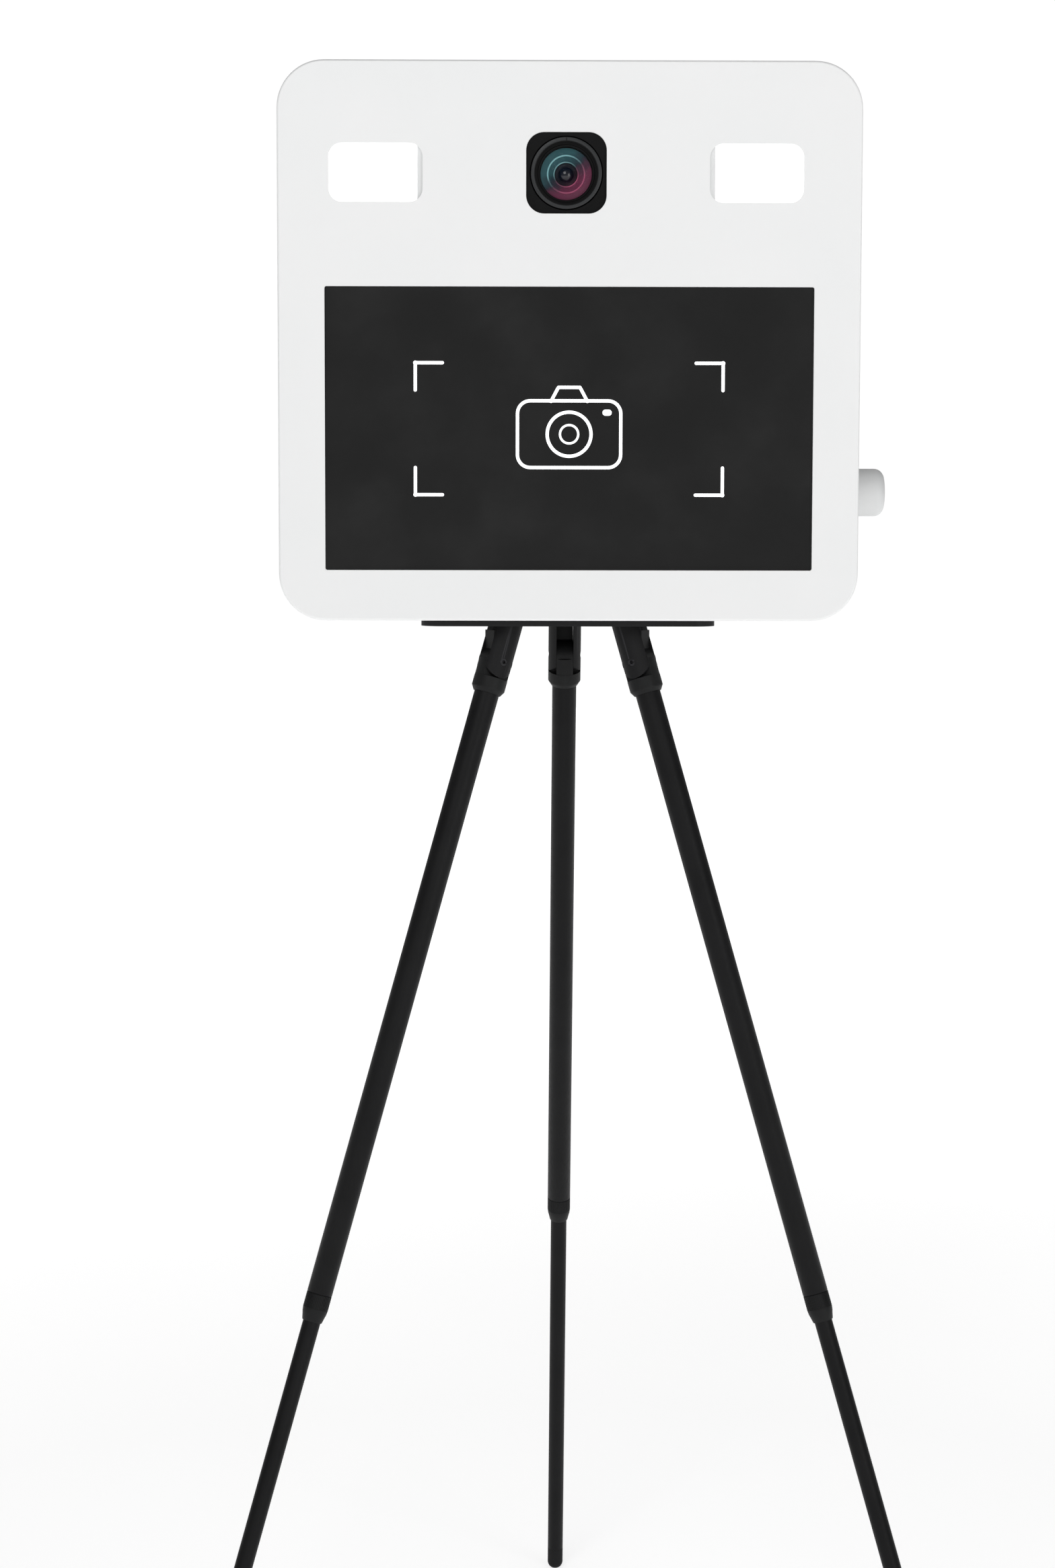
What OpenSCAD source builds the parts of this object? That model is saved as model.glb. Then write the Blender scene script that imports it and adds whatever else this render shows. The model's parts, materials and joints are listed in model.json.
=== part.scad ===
// Photo booth: a screen-and-camera head on a folding, telescoping three-legged stand.
// The front faces -Y, the floor is z = 0 and the origin is below the middle of the whole footprint.

/* [Head] */
// Width of the head
head_w = 567; // [540:1:640]
// Height of the head
head_h = 541; // [520:1:650]
// Depth of the head, from the front panel's face to the rear door's face
head_d = 190; // [180:1:240]
// Radius of the head's four corners
head_r = 46; // [25:1:60]
// Wall of the housing shell
wall = 3; // [2:0.5:4]
// Thickness of the front panel
front_t = 3; // [2:0.5:4]
// Thickness of the rear door
door_t = 3; // [2:0.5:4]
// Width of the shell's inner flanges, front and rear
flange_w = 14; // [12:1:18]

/* [Screen] */
// Visible width of the screen
screen_w = 476; // [390:1:480]
// Visible height of the screen
screen_h = 275; // [220:1:290]
// Height of the screen's middle above the head's underside
screen_z = 187; // [180:1:195]
// Thickness of the display module
display_t = 14; // [10:1:20]
// Border of the touch glass behind the panel's edge
glass_border = 8; // [5:1:10]

/* [Camera and lights] */
// Height of the camera and light row above the head's underside
row_z = 433.5; // [428:0.5:440]
// Sideways place of the row's middle
row_x = -3.4; // [-6:0.1:6]
// Width of the square camera window
window_w = 78; // [74:1:90]
// Corner radius of the camera window
window_r = 17.5; // [5:0.5:20]
// Diameter of the lens barrel
lens_d = 69; // [62:0.5:70]
// Diameter of the front glass
element_d = 51; // [44:0.5:52]
// Distance of each light's middle from the row's middle
light_x = 184.7; // [165:0.1:195]
// Width of a light's window
light_w = 91; // [75:1:100]
// Height of a light's window
light_h = 56.5; // [45:0.5:68]
// Corner radius of a light's window
light_r = 13; // [4:0.5:16]
// Width of the bare housing strip beside each diffuser
strip_w = 5; // [3:0.5:8]

/* [Latch] */
// Diameter of the latch knob
knob_d = 48; // [40:1:56]
// How far the knob stands out from the side wall
knob_out = 38; // [32:1:46]
// Height of the latch above the head's underside
latch_z = 125; // [105:1:150]
// Length of the latch cam from the shaft's axis
cam_len = 30; // [25:1:36]

/* [Stand] */
// Height of the head's underside above the floor
head_z = 1137; // [940:1:1370]
// Spread of each leg from the vertical
leg_spread = 17.91; // [14:0.01:21.5]
// Distance of each leg's pin from the stand's middle
pin_r = 82.5; // [76:0.1:90]
// Drop from the mount plate to the leg pins
pin_drop = 36.5; // [32:0.5:42]
// Width of the mount plate
plate_w = 290; // [260:1:340]
// Thickness of the mount plate
plate_t = 6; // [4:0.5:8]
// Outer diameter of the upper leg tube
upper_d = 25; // [23:0.5:28]
// Outer diameter of the lower leg tube
lower_d = 17.5; // [15:0.5:18]
// Distance along the leg from its pin to the twist sleeve's end
upper_len = 676; // [560:1:730]
// Wall of the leg tubes
tube_wall = 1.5; // [1:0.1:1.6]
// Width of the leg brackets and the knuckles
bracket_w = 33.5; // [30:0.5:38]
// Diameter of the leg pins
pin_d = 8; // [6:0.5:10]
// Radius of the flat that each rubber foot stands on
foot_flat_r = 4; // [2:0.5:6]

/* [Hidden] */
$fn = 64;
LEG_NAMES = ["rear", "left", "right"];
LEG_TURNS = [90, 210, 330];
LEG_PARTS = ["knuckle", "upper_tube", "twist_sleeve", "collet", "lower_tube", "guide_plug", "foot"];
HEAD_NODES = [
    "front_panel", "housing_shell", "rear_door", "touch_glass", "display_module", "display_brackets",
    "chassis_plate", "camera_window_frame", "camera_body", "camera_shelf", "camera_thumbscrew",
    "lens_barrel", "lens_zoom_ring", "lens_front_element", "light_housings", "light_diffusers",
    "light_led_boards", "mini_computer", "power_supply", "fan_frame", "fan_rotor", "power_inlet",
    "power_rocker", "button_bezel", "power_button", "door_hinge_frame_leaves",
    "door_hinge_door_leaves", "door_hinge_pins", "latch_bushing", "latch_knob", "latch_cam",
    "latch_keeper", "panel_screws", "mount_plate", "plate_bolts", "leg_brackets", "leg_pins"
];
LEG_NODES = [for (name = LEG_NAMES) for (piece = LEG_PARTS) str("leg_", name, "_", piece)];

// Fits
run_gap = 0.05;   // radial play of a shaft or a sliding tube
still_gap = 0.3;  // room between pieces that only sit beside each other
eps = 0.01;

// Stand geometry
foot_r = lower_d / 2;
foot_z = sqrt(foot_r * foot_r - foot_flat_r * foot_flat_r);
plate_z = head_z - plate_t;
pin_z = plate_z - pin_drop;
leg_len = (pin_z - foot_z) / cos(leg_spread);
foot_reach = pin_r + (pin_z - foot_z) * tan(leg_spread);
stand_y = -foot_reach / 4;

// Head geometry, in the head's own frame: x across, y back from the front face, z up from the underside
front_y = stand_y - 88;
door_gap = still_gap;
door_y = head_d - door_t;
shell_end = door_y - door_gap;
inner_w = head_w - 2 * wall;
inner_h = head_h - 2 * wall;
mid_z = head_h / 2;

// ---------------------------------------------------------------- helpers
module in_head() {
    translate([0, front_y, head_z]) children();
}

module rounded(w, h, r) {
    square([w - 2 * r, h], center = true);
    square([w, h - 2 * r], center = true);
    for (sx = [-1, 1], sz = [-1, 1]) {
        translate([sx * (w / 2 - r), sz * (h / 2 - r)]) circle(r);
    }
}

// A flat shape drawn in x and z, thickened from y0 by t towards the back
module slab(y0, t) {
    translate([0, y0 + t, 0]) rotate([90, 0, 0]) linear_extrude(t) children();
}

// A round bar along y, from y0 by t towards the back
module bar_y(y0, t, d) {
    translate([0, y0, 0]) rotate([-90, 0, 0]) cylinder(d = d, h = t);
}

// A round bar along x, from x0 by t to the right
module bar_x(x0, t, d) {
    translate([x0, 0, 0]) rotate([0, 90, 0]) cylinder(d = d, h = t);
}

// A box given by its lowest corner and its highest corner
module block(low, high) {
    translate(low) cube(high - low);
}

// ---------------------------------------------------------------- head: shell, panel and door
module at_row(x = 0) {
    translate([row_x + x, 0, row_z]) children();
}

module front_panel() color("whitesmoke") in_head() {
    slab(0, front_t) difference() {
        translate([0, mid_z]) rounded(head_w, head_h, head_r);
        translate([0, screen_z]) rounded(screen_w, screen_h, 2);
        translate([row_x, row_z]) rounded(window_w, window_w, window_r);
        for (side = [-1, 1]) {
            translate([row_x + side * light_x, row_z]) rounded(light_w, light_h, light_r);
        }
    }
}

screw_d = 4;
screw_spots = [for (sx = [-1, 1]) for (z = [head_r + 20, mid_z, head_h - head_r - 20])
    [sx * (inner_w / 2 - flange_w / 2), z]];
bolt_d = 8;
bolt_spots = [for (sx = [-1, 1]) for (y = [-50, 70]) [sx * (plate_w / 2 - 22), stand_y + y]];

// Side-wall fittings: places along y and z in the head's frame
latch_y = 118;
fitting_y = 120;
inlet_z = 78;
inlet_h = 58;
inlet_w = 32;
button_z = 140;
button_d = 16;
bush_d = 18;

module housing_shell() color("whitesmoke") in_head() difference() {
    union() {
        slab(front_t, shell_end - front_t) translate([0, mid_z]) difference() {
            rounded(head_w, head_h, head_r);
            rounded(inner_w, inner_h, head_r - wall);
        }
        for (y0 = [front_t, shell_end - 2]) {
            slab(y0, 2) translate([0, mid_z]) difference() {
                rounded(inner_w + wall, inner_h + wall, head_r - wall / 2);
                rounded(inner_w - 2 * flange_w, inner_h - 2 * flange_w, head_r - wall - flange_w);
            }
        }
    }
    for (spot = screw_spots) {
        translate([spot[0], 0, spot[1]]) bar_y(front_t - 1, 4, screw_d + 0.4);
    }
    for (spot = bolt_spots) {
        translate([spot[0], spot[1] - front_y, -1]) cylinder(d = bolt_d + 0.5, h = wall + 2);
    }
    translate([0, latch_y, latch_z]) bar_x(inner_w / 2 - 1, wall + 2, bush_d + 0.2);
    translate([0, fitting_y, button_z]) bar_x(-head_w / 2 - 1, wall + 2, button_d + 0.2);
    translate([-head_w / 2 - 1, fitting_y - inlet_w / 2 + 2, inlet_z - inlet_h / 2 + 4])
        cube([wall + 2, inlet_w - 4, inlet_h - 8]);
}

// Vent slots and the fan's window in the rear door
fan_x = -150;
fan_z = 433;
fan_size = 80;
fan_bore = 76;
slot_w = 120;
slot_h = 5;

module slot_row(x, z, count) {
    for (i = [0 : count - 1]) {
        translate([x, z + i * 2.6 * slot_h]) rounded(slot_w, slot_h, slot_h / 2 - 0.1);
    }
}

module rear_door() color("whitesmoke") in_head() slab(door_y, door_t) difference() {
    translate([0, mid_z]) rounded(head_w, head_h, head_r);
    slot_row(60, head_h - 150, 7);
    slot_row(-40, 70, 7);
    for (i = [-2 : 2]) {
        turn_w = i == 0 ? 66 : abs(i) == 1 ? 60 : 40;
        translate([fan_x, fan_z + i * 13]) rounded(turn_w, slot_h + 2, slot_h / 2);
    }
}

module panel_screws() color("silver") in_head() {
    for (spot = screw_spots) {
        translate([spot[0], 0, spot[1]]) difference() {
            union() {
                bar_y(front_t + 2, 2.6, 7.6);
                bar_y(front_t, 3, screw_d);
            }
            translate([-0.5, front_t + 3.6, -3]) cube([1, 2, 6]);
        }
    }
}

// ---------------------------------------------------------------- screen
glass_t = 3;
glass_w = screen_w + 2 * glass_border;
glass_h = screen_h + 2 * glass_border;
display_w = glass_w + 4;
display_h = glass_h + 4;
display_back = front_t + glass_t + display_t;

module touch_glass() color("black") in_head() {
    slab(front_t, glass_t) translate([0, screen_z]) rounded(glass_w, glass_h, 4);
}

module display_module() color("dimgray") in_head() difference() {
    union() {
        slab(front_t + glass_t, display_t) translate([0, screen_z]) rounded(display_w, display_h, 3);
        slab(display_back, 9) translate([40, screen_z + 10]) rounded(210, 130, 6);
    }
    for (i = [-3 : 3]) {
        slab(display_back + 7, 3) translate([40 + i * 26, screen_z + 10]) rounded(14, 90, 3);
    }
}

module display_brackets() color("silver") in_head() {
    for (side = [-1, 1]) {
        translate([side * (display_w / 2 + still_gap), 0, screen_z]) mirror([side < 0 ? 1 : 0, 0, 0]) {
            difference() {
                union() {
                    block([0, front_t, -120], [2, display_back + 2, 120]);
                    block([0, front_t, -120], [12, front_t + 2, 120]);
                    block([-12, display_back, -120], [2, display_back + 2, 120]);
                }
                for (z = [-90, 0, 90]) {
                    translate([7, 0, z]) bar_y(front_t - 1, 4, screw_d + 0.4);
                }
            }
        }
    }
}

chassis_y = 60;
chassis_low = 22;
chassis_top = 336;

module chassis_plate() color("silver") in_head() difference() {
    union() {
        block([-inner_w / 2, chassis_y, chassis_low], [inner_w / 2, chassis_y + 2, chassis_top]);
        for (side = [-1, 1]) {
            x = side * (inner_w / 2 - 1);
            block([x - 1, chassis_y, chassis_low + 30], [x + 1, chassis_y + 24, chassis_top]);
        }
    }
    // the shell's corner curve and the cable windows
    for (side = [-1, 1]) {
        x = side * inner_w / 2;
        block([x - 30, chassis_y - 1, chassis_low - 1], [x + 30, chassis_y + 3, chassis_low + 31]);
    }
    slab(chassis_y - 1, 4) translate([-180, 120]) rounded(80, 120, 12);
    slab(chassis_y - 1, 4) translate([0, 292]) rounded(160, 40, 12);
}

// ---------------------------------------------------------------- camera
lens_front = 1.5;
lens_back = 80;
zoom_y = 42;
zoom_len = 20;
body_t = 45;
body_w = 130;
body_low = 38;
body_high = 40;
mount_screw_d = 6.35;
shelf_t = 3;
frame_w = window_w + 20;

module camera_window_frame() color("black") in_head() {
    slab(front_t, 2) difference() {
        translate([row_x, row_z]) rounded(frame_w, frame_w, window_r);
        translate([row_x, row_z]) circle(d = lens_d + 2);
    }
}

module camera_body() color("dimgray") in_head() at_row() difference() {
    union() {
        slab(lens_back, body_t) translate([0, 1]) rounded(body_w, body_low + body_high - 2, 8);
        block([-body_w / 2 + 10, lens_back, -body_low],
              [body_w / 2 - 10, lens_back + body_t, -body_low + 10]);
        block([-28, lens_back - 6, body_high - 5], [28, lens_back + body_t - 6, body_high + 18]);
        slab(lens_back - 16, 20) translate([-body_w / 2 + 15, 0]) rounded(28, body_low + body_high - 10, 10);
        translate([-body_w / 2 + 18, lens_back + 12, body_high - 2]) cylinder(d = 18, h = 8);
        translate([body_w / 2 - 20, lens_back + 20, body_high - 2]) cylinder(d = 22, h = 7);
    }
    translate([0, lens_back + body_t / 2, -body_low - 1])
        cylinder(d = mount_screw_d + 2 * run_gap, h = 10 + 1);
    slab(lens_back + body_t - 1, 2) translate([-6, -2]) rounded(78, 52, 3);
}

module lens_barrel() color("black") in_head() at_row() difference() {
    union() {
        bar_y(lens_front, zoom_y - lens_front, lens_d);
        bar_y(zoom_y - 1, zoom_len + 2, lens_d - 9);
        bar_y(zoom_y + zoom_len, lens_back - zoom_y - zoom_len, lens_d - 3);
    }
    bar_y(lens_front - 1, 6, lens_d - 9);
    bar_y(lens_front, 12.5, element_d + 2 * run_gap);
    bar_y(lens_front, lens_back, element_d - 7);
}

module lens_zoom_ring() color("dimgray") in_head() at_row() difference() {
    bar_y(zoom_y + still_gap, zoom_len - 2 * still_gap, lens_d + 2);
    bar_y(zoom_y - 1, zoom_len + 2, lens_d - 9 + 2 * run_gap);
    for (i = [0 : 29]) {
        rotate([0, i * 12, 0]) translate([lens_d / 2 + 0.2, zoom_y + 4, -1.5]) cube([3, zoom_len - 8, 3]);
    }
}

element_seat = lens_front + 12.5;
element_bulge = 70;

module lens_front_element() color("darkslategray") in_head() at_row() intersection() {
    bar_y(lens_front, element_seat - lens_front, element_d);
    translate([0, element_seat - 7 + element_bulge, 0]) sphere(r = element_bulge, $fn = 128);
}

module camera_shelf() color("silver") in_head() at_row() {
    top = -body_low;
    low = -88;
    difference() {
        union() {
            block([-60, front_t + 2, top - shelf_t], [60, lens_back + body_t + 2, top]);
            block([-60, front_t + 2, low], [60, front_t + 5, top]);
            block([-60, front_t, low], [60, front_t + 5, -window_w / 2 - 12]);
            for (side = [-1, 1]) {
                translate([side * 58.5 - 1.5, front_t + 4, top - shelf_t])
                    rotate([90, 0, 90]) linear_extrude(3) polygon([[0, 0], [70, 0], [0, -42]]);
            }
        }
        translate([0, lens_back + body_t / 2, top - shelf_t - 1])
            cylinder(d = mount_screw_d + 0.6, h = shelf_t + 2);
    }
}

module camera_thumbscrew() color("gray") in_head() at_row() {
    translate([0, lens_back + body_t / 2, -body_low]) {
        translate([0, 0, -shelf_t - 8]) cylinder(d = 20, h = 8);
        translate([0, 0, -shelf_t - 1]) cylinder(d = mount_screw_d, h = shelf_t + 9);
    }
}

// ---------------------------------------------------------------- lights
light_depth = 30;
diffuser_t = 2.5;
lip = 4;

// Each light is drawn with its inner side towards -x, and mirrored for the left one
module at_light(side) {
    translate([row_x + side * light_x, front_t, row_z]) mirror([side < 0 ? 1 : 0, 0, 0]) children();
}

module light_housings() color("lightgray") in_head() {
    for (side = [-1, 1]) at_light(side) difference() {
        block([-light_w / 2 - lip, 0, -light_h / 2 - 2 * lip],
              [light_w / 2 + 2 * lip, light_depth, light_h / 2 + 2 * lip]);
        block([-light_w / 2 + strip_w, -1, -light_h / 2 - lip],
              [light_w / 2 + lip, diffuser_t, light_h / 2 + lip]);
        block([-light_w / 2 + strip_w + 3, diffuser_t - 1, -light_h / 2],
              [light_w / 2, light_depth - 3, light_h / 2]);
    }
}

module light_diffusers() color("white") in_head() {
    for (side = [-1, 1]) at_light(side) {
        block([-light_w / 2 + strip_w + 0.2, 0, -light_h / 2 - lip + 0.2],
              [light_w / 2 + lip - 0.2, diffuser_t, light_h / 2 + lip - 0.2]);
    }
}

module light_led_boards() color("seagreen") in_head() {
    for (side = [-1, 1]) at_light(side) {
        block([-light_w / 2 + strip_w + 4, light_depth - 4.6, -light_h / 2 + 1],
              [light_w / 2 - 1, light_depth - 3, light_h / 2 - 1]);
        for (i = [-2 : 2], k = [-1 : 1]) {
            translate([4 + i * 15, light_depth - 6, k * 16]) cube([5, 3, 5], center = true);
        }
    }
}

// ---------------------------------------------------------------- electronics
board_y = chassis_y + 2;

module mini_computer() color("darkslategray") in_head() translate([-50, board_y, 70]) difference() {
    union() {
        block([-68, 0, 0], [68, 36, 130]);
        for (i = [-7 : 7]) {
            block([i * 9 - 1.5, 35, 4], [i * 9 + 1.5, 44, 126]);
        }
    }
    for (i = [-3 : 3]) {
        block([i * 18 - 6, 8, -1], [i * 18 + 6, 16, 8]);
    }
}

module power_supply() color("silver") in_head() translate([115, board_y, 60]) difference() {
    block([-49, 0, 0], [49, 38, 200]);
    block([-45, 14, -1], [45, 39, 16]);
    for (i = [0 : 8]) {
        block([-30, 37, 40 + i * 16], [30, 39, 46 + i * 16]);
    }
}

fan_t = 25;
fan_shaft_d = 4;

module at_fan() {
    translate([fan_x, door_y - fan_t, fan_z]) children();
}

module fan_frame() color("black") in_head() at_fan() difference() {
    union() {
        difference() {
            slab(0, fan_t) rounded(fan_size, fan_size, 5);
            bar_y(-1, fan_t + 2, fan_bore);
        }
        bar_y(fan_t - 4, 4, 32);
        for (i = [0 : 3]) {
            rotate([0, 45 + i * 90, 0]) block([12, fan_t - 4, -2.5], [fan_size / 2, fan_t, 2.5]);
        }
    }
    bar_y(fan_t - 5, 6, fan_shaft_d + 2 * run_gap);
    for (sx = [-1, 1], sz = [-1, 1]) {
        translate([sx * 35.75, 0, sz * 35.75]) bar_y(-1, fan_t + 2, 4.3);
    }
}

module fan_rotor() color("dimgray") in_head() at_fan() {
    bar_y(2, fan_t - 7, 30);
    bar_y(fan_t - 6, 5, fan_shaft_d);
    intersection() {
        bar_y(2, fan_t - 8, fan_bore - 3);
        for (i = [0 : 6]) {
            rotate([0, i * 360 / 7, 0]) translate([0, 10.5, 0]) rotate([38, 0, 0])
                block([12, -1, -10], [fan_bore / 2, 1, 10]);
        }
    }
}

// ---------------------------------------------------------------- power entry and button, left side wall
side_x = -head_w / 2;
rocker_z = inlet_z + 12;
rocker_w = 13;
rocker_h = 19;
rocker_tilt = 8;
rocker_depth = 3;
trunnion_d = 2.5;

module power_inlet() color("black") in_head() difference() {
    union() {
        translate([0, fitting_y, inlet_z])
            block([side_x - 2.5, -inlet_w / 2, -inlet_h / 2], [side_x, inlet_w / 2, inlet_h / 2]);
        translate([0, fitting_y, inlet_z])
            block([side_x - 1, -inlet_w / 2 + 2.2, -inlet_h / 2 + 4.2],
                  [side_x + 30, inlet_w / 2 - 2.2, inlet_h / 2 - 4.2]);
    }
    // socket, left around its three prongs
    translate([0, fitting_y, inlet_z - 13]) difference() {
        block([side_x - 3, -12, -8.3], [side_x + 16, 12, 8.3]);
        for (i = [-1 : 1]) {
            block([side_x, i * 7 - 1, -2 - abs(i)], [side_x + 17, i * 7 + 1, 2 - abs(i)]);
        }
    }
    // rocker well
    translate([0, fitting_y, rocker_z])
        block([side_x - 3, -rocker_w / 2 - 0.4, -rocker_h / 2 - 1],
              [side_x + 14, rocker_w / 2 + 0.4, rocker_h / 2 + 1]);
    translate([side_x + rocker_depth, fitting_y, rocker_z]) rotate([90, 0, 0])
        cylinder(d = trunnion_d + 2 * run_gap, h = rocker_w + 5, center = true);
}

module power_rocker() color("darkred") in_head() {
    translate([side_x + rocker_depth, fitting_y, rocker_z]) {
        rotate([90, 0, 0]) cylinder(d = trunnion_d, h = rocker_w + 4, center = true);
        rotate([0, rocker_tilt, 0]) difference() {
            block([-6.5, -rocker_w / 2, -rocker_h / 2], [4, rocker_w / 2, rocker_h / 2]);
            translate([-31, 0, 0]) rotate([90, 0, 0]) cylinder(r = 26, h = rocker_w + 2, center = true);
        }
    }
}

module button_bezel() color("silver") in_head() translate([0, fitting_y, button_z]) difference() {
    union() {
        bar_x(side_x - 2, 2, button_d + 5);
        bar_x(side_x - 1, 22, button_d);
        bar_x(side_x + wall, 4, button_d + 6);
    }
    bar_x(side_x - 3, 16, button_d - 4);
}

module power_button() color("gray") in_head() translate([0, fitting_y, button_z]) {
    bar_x(side_x - 3.5, 12, button_d - 4 - 2 * run_gap);
}

// ---------------------------------------------------------------- rear door hinges
hinge_out = 4.5;
hinge_y = head_d - 1;
hinge_len = 70;
knuckle_d = 8;
hinge_pin_d = 5;
hinge_places = [head_r + 30, head_h - head_r - 30 - hinge_len];
door_knuckle_low = 22;
door_knuckle_high = hinge_len - 22;

module at_hinge(z) {
    translate([-head_w / 2 - hinge_out, hinge_y, z]) children();
}

module door_hinge_frame_leaves() color("silver") in_head() {
    for (z = hinge_places) at_hinge(z) difference() {
        union() {
            block([hinge_out - 2, -36, 0], [hinge_out, -knuckle_d / 2 - 0.5, hinge_len]);
            for (low = [0, door_knuckle_high + still_gap]) {
                high = low + door_knuckle_low - still_gap;
                block([hinge_out - 2, -knuckle_d / 2 - 1, low], [hinge_out - 0.1, 0, high]);
                translate([0, 0, low]) cylinder(d = knuckle_d, h = high - low);
            }
        }
        translate([0, 0, -1]) cylinder(d = hinge_pin_d + 2 * run_gap, h = hinge_len + 2);
    }
}

module door_hinge_door_leaves() color("silver") in_head() {
    for (z = hinge_places) at_hinge(z) difference() {
        union() {
            block([hinge_out + 0.5, 1, 0], [hinge_out + 34, 3, hinge_len]);
            block([0, 1, door_knuckle_low], [hinge_out + 1, 3, door_knuckle_high]);
            translate([0, 0, door_knuckle_low])
                cylinder(d = knuckle_d, h = door_knuckle_high - door_knuckle_low);
        }
        translate([0, 0, -1]) cylinder(d = hinge_pin_d + 2 * run_gap, h = hinge_len + 2);
    }
}

module door_hinge_pins() color("gray") in_head() {
    for (z = hinge_places) at_hinge(z) {
        cylinder(d = hinge_pin_d, h = hinge_len);
        translate([0, 0, -2]) cylinder(d = knuckle_d - 1, h = 2);
        translate([0, 0, hinge_len]) cylinder(d = knuckle_d - 1, h = 2);
    }
}

// ---------------------------------------------------------------- latch, right side wall
shaft_d = 10;
cam_x = 249;
cam_t = 4;
cam_w = 14;
keeper_w = 14;
keeper_low = 14;
hook_gap = 4;
knob_gap = 2;
latch_wall = head_w / 2;

module at_latch() {
    translate([0, latch_y, latch_z]) children();
}

module latch_bushing() color("silver") in_head() at_latch() difference() {
    union() {
        bar_x(latch_wall, 1.5, bush_d + 10);
        bar_x(latch_wall - 16, 17, bush_d);
        translate([latch_wall - wall - 5, 0, 0]) rotate([0, 90, 0]) cylinder(d = 27, h = 5, $fn = 6);
    }
    bar_x(latch_wall - 17, 20, shaft_d + 2 * run_gap);
}

module latch_knob() color("lightgray") in_head() at_latch() {
    bar_x(cam_x - 3, latch_wall + knob_gap + 2 - cam_x + 3, shaft_d);
    translate([latch_wall, 0, 0]) rotate([0, 90, 0]) rotate_extrude() difference() {
        union() {
            translate([0, knob_gap]) square([knob_d / 2, knob_out - knob_gap - 10]);
            translate([0, knob_out - 12]) square([knob_d / 2 - 10, 12]);
            translate([knob_d / 2 - 10, knob_out - 10]) circle(10);
        }
        translate([-knob_d, 0]) square([knob_d, knob_out]);
    }
}

module latch_cam() color("gray") in_head() at_latch() difference() {
    union() {
        bar_x(cam_x, cam_t, 22);
        block([cam_x, 0, -cam_w / 2], [cam_x + cam_t, cam_len, cam_w / 2]);
    }
    bar_x(cam_x - 1, cam_t + 2, shaft_d + 2 * run_gap);
}

module latch_keeper() color("gray") in_head() at_latch() {
    x0 = cam_x + cam_t / 2 - keeper_w / 2;
    x1 = x0 + keeper_w;
    back = door_y - latch_y;
    lip_y = -cam_w / 2 - hook_gap - 4;
    arm_z = cam_len + hook_gap;
    block([x0, lip_y, arm_z], [x1, back, arm_z + 4]);
    block([x0, lip_y, keeper_low], [x1, lip_y + 4, arm_z + 4]);
    block([x0 - 6, back - 3, arm_z - 12], [x1 + 1, back, arm_z + 18]);
}

// ---------------------------------------------------------------- stand: plate, brackets and pins
plate_back = 98;
plate_front = 78;

module mount_plate() color("black") translate([0, stand_y, plate_z]) difference() {
    translate([0, (plate_back - plate_front) / 2, 0]) linear_extrude(plate_t)
        rounded(plate_w, plate_back + plate_front, 20);
    for (spot = bolt_spots) {
        translate([spot[0], spot[1] - stand_y, -1]) cylinder(d = bolt_d + 0.1, h = plate_t + 2);
    }
}

module plate_bolts() color("silver") {
    for (spot = bolt_spots) {
        translate([spot[0], spot[1], plate_z + 0.5]) difference() {
            union() {
                cylinder(d = bolt_d, h = plate_t + wall);
                translate([0, 0, plate_t + wall - 0.5]) cylinder(d = 14, h = 5.5);
            }
            translate([0, 0, plate_t + wall + 2]) cylinder(d = 6.9, h = 5, $fn = 6);
        }
    }
}

// A leg's frame at rest: x outwards, y along the pin, z up
module at_pin(turn) {
    translate([0, stand_y, 0]) rotate([0, 0, turn]) translate([pin_r, 0, pin_z]) children();
}

// The same frame tipped so that -z runs down the leg
module along_leg(turn) {
    at_pin(turn) rotate([0, -leg_spread, 0]) children();
}

base_t = 5;
cheek_t = 8;
cheek_r = bracket_w / 2 - 0.5;
tongue_w = bracket_w - 2 * cheek_t - 0.5;

// A round shoulder in line with the leg, cut off flat under the plate and slotted for the knuckle's tongue
module leg_bracket() {
    difference() {
        intersection() {
            rotate([0, -leg_spread, 0]) {
                translate([0, 0, -cheek_r]) cylinder(d = bracket_w, h = cheek_r + 2 * pin_drop);
            }
            rotate([0, -leg_spread, 0]) union() {
                rotate([90, 0, 0]) cylinder(r = cheek_r, h = bracket_w, center = true);
                block([-cheek_r, -bracket_w / 2, 0], [cheek_r, bracket_w / 2, 2 * pin_drop]);
            }
            block([-2 * bracket_w, -bracket_w, -bracket_w], [2 * bracket_w, bracket_w, pin_drop]);
        }
        block([-2 * bracket_w, -tongue_w / 2 - 0.25, -bracket_w],
              [2 * bracket_w, tongue_w / 2 + 0.25, pin_drop - base_t]);
        rotate([90, 0, 0]) cylinder(d = pin_d + 2 * run_gap, h = bracket_w + 2, center = true);
    }
}

module leg_brackets() color("black") {
    for (turn = LEG_TURNS) at_pin(turn) leg_bracket();
}

module leg_pins() color("silver") {
    for (turn = LEG_TURNS) at_pin(turn) difference() {
        rotate([90, 0, 0]) cylinder(d = pin_d, h = bracket_w - 1, center = true);
        for (side = [-1, 1]) {
            translate([0, side * bracket_w / 2, 0]) rotate([90, 0, 0])
                cylinder(d = pin_d / 2, h = 6, center = true, $fn = 6);
        }
    }
}

// ---------------------------------------------------------------- legs
shoulder = cheek_r + 1;
collar_end = 28;
cone_end = 33;
seat = shoulder + 3;
spigot_end = 58;
upper_in = upper_d - 2 * tube_wall;
neck_d = upper_d - 2.2;
neck_bore = upper_in - 2;
sleeve_len = 28;
neck_top = upper_len - sleeve_len;
neck_end = upper_len - 15;
plug_len = 60;
neck_root = neck_top - 4;
plug_low = neck_root - still_gap;
lower_top = plug_low - plug_len;
foot_len = 20;
lower_end = leg_len - foot_len;
collet_in = lower_d + 2 * run_gap;

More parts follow.
